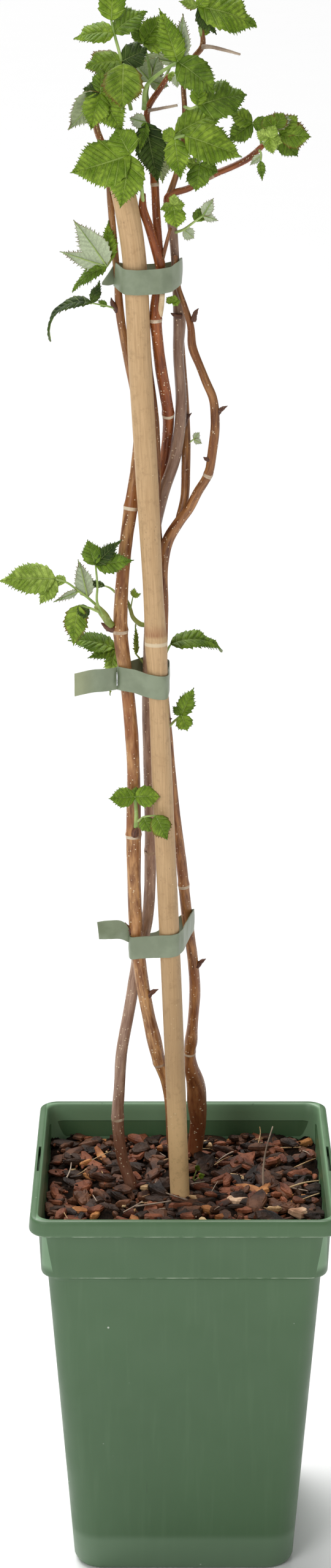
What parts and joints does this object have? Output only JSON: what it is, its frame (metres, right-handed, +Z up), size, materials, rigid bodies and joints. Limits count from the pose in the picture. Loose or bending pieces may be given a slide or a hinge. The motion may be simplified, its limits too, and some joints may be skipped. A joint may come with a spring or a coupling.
{
  "type": "potted raspberry plant",
  "caption": "Young raspberry cane plant in a square plastic nursery pot with bark mulch, its woody canes tied to a bamboo stake with soft tape, with toothed compound leaves.",
  "frame": {"origin": "centre of the pot's flat underside", "axes": "+Z up along the canes, +X to the right and -Y towards the front of the plant"},
  "size_m": [0.1631, 0.15, 0.7712],
  "materials": {
    "pot_plastic": "satin grey-green",
    "bamboo": "dry, satin",
    "cane_bark": "smooth bark with pale lenticels, slightly glossy",
    "compost": "crumbly, matte",
    "bark": "rough chips, matte",
    "tying_tape": "soft vinyl, slight gloss",
    "staple_wire": "bright wire",
    "green_shoot": "soft green stem, fine hairs",
    "dry_twig": "dry, matte",
    "leaf": "quilted green blade, paler below"
  },
  "bodies": {
    "root": {"bamboo_stake": "bamboo", "bark_mulch": "bark", "cane_left": "cane_bark", "cane_main": "cane_bark", "cane_right": "cane_bark", "dry_twig_left": "dry_twig", "dry_twig_right": "dry_twig", "leaf_arm_small": "leaf", "leaf_back_high": "leaf", "leaf_back_low": "leaf", "leaf_behind_main": "leaf", "leaf_centre_back": "leaf", "leaf_centre_top": "leaf", "leaf_dark_centre": "leaf", "leaf_front_drape": "leaf", "leaf_front_pair": "leaf", "leaf_hook_small": "leaf", "leaf_left_curled": "leaf", "leaf_left_group": "leaf", "leaf_left_pale": "leaf", "leaf_lower_left": "leaf", "leaf_lower_right": "leaf", "leaf_middle_left": "leaf", "leaf_middle_low": "leaf", "leaf_middle_upright": "leaf", "leaf_olive_small": "leaf", "leaf_right_arch": "leaf", "leaf_right_big": "leaf", "leaf_right_low": "leaf", "leaf_right_middle": "leaf", "leaf_right_shoot": "leaf", "leaf_small_right": "leaf", "leaf_tie_left": "leaf", "leaf_tie_right": "leaf", "leaf_tie_sliver": "leaf", "leaf_tie_sprout": "leaf", "leaf_tip_back": "leaf", "leaf_tip_fan": "leaf", "leaf_tip_hanging": "leaf", "leaf_tip_top": "leaf", "leaf_tip_young": "leaf", "leaf_top_left": "leaf", "leaf_top_middle": "leaf", "leaf_top_right": "leaf", "leaf_young_middle": "leaf", "potting_compost": "compost", "shoot_hook": "green_shoot", "shoot_middle": "green_shoot", "square_pot": "pot_plastic", "staple_middle": "staple_wire", "tie_lower": "tying_tape", "tie_middle": "tying_tape", "tie_top": "tying_tape"}
  },
  "joints": []
}
